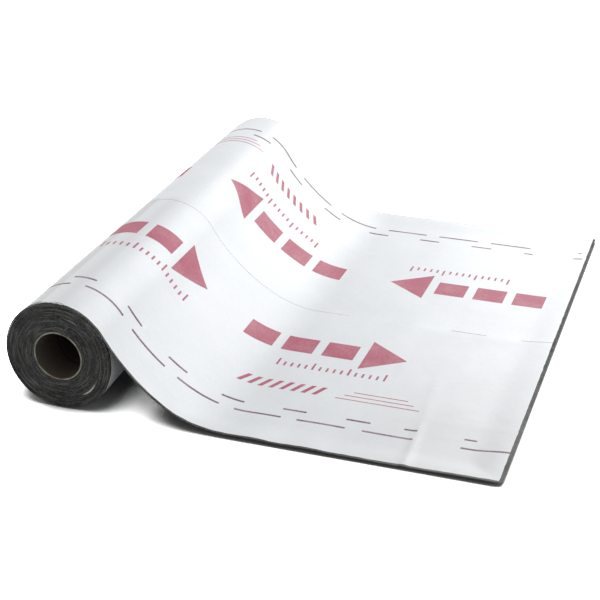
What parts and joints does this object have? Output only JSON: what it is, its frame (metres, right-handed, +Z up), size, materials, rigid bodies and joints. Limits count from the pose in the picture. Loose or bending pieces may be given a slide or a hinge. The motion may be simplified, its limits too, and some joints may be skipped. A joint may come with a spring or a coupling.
{
  "type": "roofing underlayment roll",
  "caption": "Roll of self-adhering roofing membrane with a white film face, wound on a cardboard tube and partly unrolled across the floor.",
  "frame": {"origin": "on the floor, under the middle of the whole piece, half way along the roll and half way between its back and the sheet's free end", "axes": "+Z up, +Y along the roll's axis, +X the way the sheet is pulled off the roll"},
  "size_m": [0.772, 0.9173, 0.176],
  "materials": {
    "membrane": "satin",
    "core_tube": "matte"
  },
  "bodies": {
    "root": {"membrane": "membrane", "core_tube": "core_tube"}
  },
  "joints": []
}
